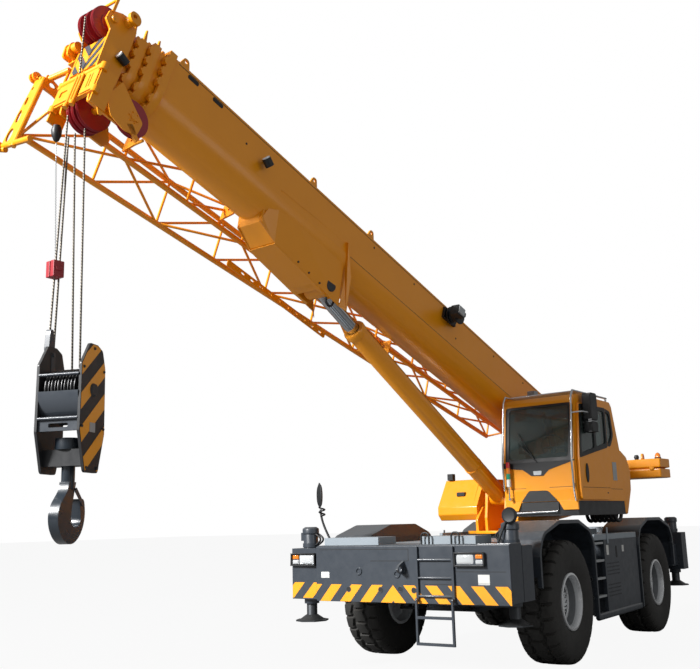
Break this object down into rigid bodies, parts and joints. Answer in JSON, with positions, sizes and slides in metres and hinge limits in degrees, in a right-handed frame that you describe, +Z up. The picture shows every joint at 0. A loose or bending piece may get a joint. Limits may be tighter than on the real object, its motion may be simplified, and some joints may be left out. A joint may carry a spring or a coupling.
{
  "type": "two-axle rough-terrain mobile crane",
  "caption": "Rough-terrain crane with telescopic boom, side cab, counterweight, outriggers, stowed lattice jib and hanging hook block; posed at rest with the boom raised.",
  "frame": {"origin": "middle of the whole machine's box, on the ground", "axes": "+X is the carrier's forward direction, +Y its left, +Z up; the boom is slewed 4.64 degrees to the right of +X and raised 19.76 degrees"},
  "size_m": [11.92, 3.2232, 6.7341],
  "materials": {
    "slate_paint": "slate grey paint, satin",
    "yellow_paint": "crane yellow paint, semi-gloss",
    "black_paint": "black paint, satin",
    "tyre_rubber": "weathered tyre rubber",
    "rim_silver": "silver rim paint",
    "sheave_red": "red paint on cast sheaves",
    "chrome_rod": "hard chrome",
    "rope_steel": "oiled steel wire",
    "cab_glazing": "tinted safety glass",
    "seat_fabric": "dark seat fabric",
    "dark_steel": "dark cast and machined steel"
  },
  "bodies": {
    "carrier": {"carrier_frame": "slate_paint", "outrigger_boxes": "slate_paint", "sleeve_ends": "slate_paint", "end_plates": "slate_paint", "carrier_deck": "slate_paint", "wheel_fenders": "slate_paint", "side_lockers": "slate_paint", "access_ladders": "slate_paint", "engine_block": "dark_steel", "slewing_ring": "dark_steel", "axle_beams": "dark_steel"},
    "ladder_step": {"ladder_step": "slate_paint"},
    "steering_front_left": {"knuckle_front_left": "dark_steel"},
    "wheel_front_left": {"rim_front_left": "rim_silver", "tyre_front_left": "tyre_rubber"},
    "steering_front_right": {"knuckle_front_right": "dark_steel"},
    "wheel_front_right": {"rim_front_right": "rim_silver", "tyre_front_right": "tyre_rubber"},
    "steering_rear_left": {"knuckle_rear_left": "dark_steel"},
    "wheel_rear_left": {"rim_rear_left": "rim_silver", "tyre_rear_left": "tyre_rubber"},
    "steering_rear_right": {"knuckle_rear_right": "dark_steel"},
    "wheel_rear_right": {"rim_rear_right": "rim_silver", "tyre_rear_right": "tyre_rubber"},
    "outrigger_front_right": {"outrigger_beam_front_right": "slate_paint"},
    "jack_front_right": {"outrigger_jack_front_right": "dark_steel"},
    "outrigger_front_left": {"outrigger_beam_front_left": "slate_paint"},
    "jack_front_left": {"outrigger_jack_front_left": "dark_steel"},
    "outrigger_rear_left": {"outrigger_beam_rear_left": "slate_paint"},
    "jack_rear_left": {"outrigger_jack_rear_left": "dark_steel"},
    "outrigger_rear_right": {"outrigger_beam_rear_right": "slate_paint"},
    "jack_rear_right": {"outrigger_jack_rear_right": "dark_steel"},
    "upper_works": {"turntable": "yellow_paint", "counterweight": "yellow_paint", "hydraulic_cabinet": "yellow_paint", "hoist_winches": "yellow_paint", "rear_housing": "yellow_paint", "cab_shell": "yellow_paint", "cab_base": "black_paint", "cab_glass": "cab_glazing", "operator_seat": "seat_fabric", "cab_fittings": "black_paint"},
    "cab_door": {"cab_door": "yellow_paint", "door_glass": "cab_glazing"},
    "boom": {"boom_base": "yellow_paint", "base_collar": "yellow_paint", "jib_trusses": "yellow_paint", "jib_lacing": "yellow_paint", "jib_brackets": "yellow_paint"},
    "telescope_2": {"boom_section_2": "yellow_paint"},
    "telescope_3": {"boom_section_3": "yellow_paint"},
    "telescope_4": {"boom_section_4": "yellow_paint", "boom_head": "yellow_paint", "head_sheaves": "sheave_red"},
    "lift_rod": {"lift_rod": "chrome_rod"},
    "lift_barrel": {"lift_barrel": "yellow_paint"},
    "hook_block": {"hoist_falls": "rope_steel", "hook_block": "black_paint"},
    "hook": {"hook": "dark_steel"}
  },
  "joints": [
    {"name": "slew", "type": "hinge", "parent": "carrier", "child": "upper_works", "pos_m": [-2.24027, 0.03725, 1.56], "axis": [0, 0, 1], "continuous": true},
    {"name": "boom_luff", "type": "hinge", "parent": "upper_works", "child": "boom", "pos_m": [-4.06826, 0.18561, 2.725], "axis": [-0.0809, -0.9967, 0], "range_deg": [-21.26, 60.24]},
    {"name": "telescope_2", "type": "slide", "parent": "boom", "child": "telescope_2", "axis": [0.938, -0.0761, 0.3381], "range_m": [0, 7.1]},
    {"name": "telescope_3", "type": "slide", "parent": "telescope_2", "child": "telescope_3", "axis": [0.938, -0.0761, 0.3381], "range_m": [0, 7.1]},
    {"name": "telescope_4", "type": "slide", "parent": "telescope_3", "child": "telescope_4", "axis": [0.938, -0.0761, 0.3381], "range_m": [0, 7.1]},
    {"name": "lift_rod_pivot", "type": "hinge", "parent": "boom", "child": "lift_rod", "pos_m": [2.30437, -0.3316, 4.49051], "axis": [-0.0809, -0.9967, 0], "range_deg": [-7, 19]},
    {"name": "lift_barrel_slide", "type": "slide", "parent": "lift_rod", "child": "lift_barrel", "axis": [-0.858, 0.0696, -0.509], "range_m": [-0.56, 1.56]},
    {"name": "hook_hang", "type": "hinge", "parent": "telescope_4", "child": "hook_block", "pos_m": [5.49066, -0.5902, 5.60702], "axis": [-0.0809, -0.9967, 0], "range_deg": [-61, 22]},
    {"name": "hook_swivel", "type": "hinge", "parent": "hook_block", "child": "hook", "pos_m": [5.69015, -0.52613, 2.99], "axis": [0, 0, 1], "continuous": true},
    {"name": "cab_door_slide", "type": "slide", "parent": "upper_works", "child": "cab_door", "axis": [-0.9967, 0.0809, 0], "range_m": [0, 0.82]},
    {"name": "ladder_step_fold", "type": "hinge", "parent": "carrier", "child": "ladder_step", "pos_m": [1.48373, 0.60725, 0.89], "axis": [0, -1, 0], "range_deg": [0, 175]},
    {"name": "steer_front_left", "type": "hinge", "parent": "carrier", "child": "steering_front_left", "pos_m": [-0.41527, 0.95725, 0.745], "axis": [0, 0, 1], "range_deg": [-30, 30]},
    {"name": "spin_front_left", "type": "hinge", "parent": "steering_front_left", "child": "wheel_front_left", "pos_m": [-0.41527, 1.26225, 0.745], "axis": [0, 1, 0], "continuous": true},
    {"name": "steer_front_right", "type": "hinge", "parent": "carrier", "child": "steering_front_right", "pos_m": [-0.41527, -0.88275, 0.745], "axis": [0, 0, 1], "range_deg": [-30, 30]},
    {"name": "spin_front_right", "type": "hinge", "parent": "steering_front_right", "child": "wheel_front_right", "pos_m": [-0.41527, -1.18775, 0.745], "axis": [0, 1, 0], "continuous": true},
    {"name": "steer_rear_left", "type": "hinge", "parent": "carrier", "child": "steering_rear_left", "pos_m": [-4.06527, 0.95725, 0.745], "axis": [0, 0, 1], "range_deg": [-30, 30]},
    {"name": "spin_rear_left", "type": "hinge", "parent": "steering_rear_left", "child": "wheel_rear_left", "pos_m": [-4.06527, 1.26225, 0.745], "axis": [0, 1, 0], "continuous": true},
    {"name": "steer_rear_right", "type": "hinge", "parent": "carrier", "child": "steering_rear_right", "pos_m": [-4.06527, -0.88275, 0.745], "axis": [0, 0, 1], "range_deg": [-30, 30]},
    {"name": "spin_rear_right", "type": "hinge", "parent": "steering_rear_right", "child": "wheel_rear_right", "pos_m": [-4.06527, -1.18775, 0.745], "axis": [0, 1, 0], "continuous": true},
    {"name": "extend_front_right", "type": "slide", "parent": "carrier", "child": "outrigger_front_right", "axis": [0, -1, 0], "range_m": [0, 2]},
    {"name": "jack_front_right", "type": "slide", "parent": "outrigger_front_right", "child": "jack_front_right", "axis": [0, 0, -1], "range_m": [0, 0.59]},
    {"name": "extend_front_left", "type": "slide", "parent": "carrier", "child": "outrigger_front_left", "axis": [0, 1, 0], "range_m": [0, 2]},
    {"name": "jack_front_left", "type": "slide", "parent": "outrigger_front_left", "child": "jack_front_left", "axis": [0, 0, -1], "range_m": [0, 0.59]},
    {"name": "extend_rear_left", "type": "slide", "parent": "carrier", "child": "outrigger_rear_left", "axis": [0, 1, 0], "range_m": [0, 2]},
    {"name": "jack_rear_left", "type": "slide", "parent": "outrigger_rear_left", "child": "jack_rear_left", "axis": [0, 0, -1], "range_m": [0, 0.59]},
    {"name": "extend_rear_right", "type": "slide", "parent": "carrier", "child": "outrigger_rear_right", "axis": [0, -1, 0], "range_m": [0, 2]},
    {"name": "jack_rear_right", "type": "slide", "parent": "outrigger_rear_right", "child": "jack_rear_right", "axis": [0, 0, -1], "range_m": [0, 0.59]}
  ],
  "couplings": [
    {"joint": "telescope_3", "follows": "telescope_2", "ratio": 1},
    {"joint": "telescope_4", "follows": "telescope_2", "ratio": 1},
    {"joint": "lift_rod_pivot", "follows": "boom_luff", "ratio": 0.3},
    {"joint": "lift_barrel_slide", "follows": "boom_luff", "m_per_rad": 1.45},
    {"joint": "hook_hang", "follows": "boom_luff", "ratio": -1},
    {"joint": "steer_front_right", "follows": "steer_front_left", "ratio": 1},
    {"joint": "steer_rear_right", "follows": "steer_rear_left", "ratio": 1}
  ]
}
